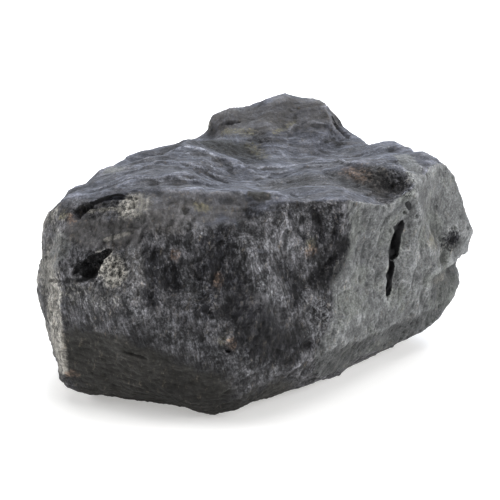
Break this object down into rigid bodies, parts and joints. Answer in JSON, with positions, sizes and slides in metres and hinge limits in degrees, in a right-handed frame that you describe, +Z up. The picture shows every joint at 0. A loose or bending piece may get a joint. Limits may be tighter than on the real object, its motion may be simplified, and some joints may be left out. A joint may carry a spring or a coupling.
{
  "type": "lodestone",
  "caption": "Blocky lump of natural magnetite with rough broken faces, an upright cleft, ledges and a flat foot that it rests on.",
  "frame": {"origin": "middle of the stone's bounding box, on the floor that it rests on", "axes": "+Z up, +X along the stone's longest side, -Y towards the front with the ledges and the near corner"},
  "size_m": [0.103, 0.0892, 0.057],
  "materials": {
    "magnetite": "rough broken iron-black stone with a weak metallic sheen, greyer weathered faces and small rust and ochre stains"
  },
  "bodies": {
    "root": {"lodestone": "magnetite"}
  },
  "joints": []
}
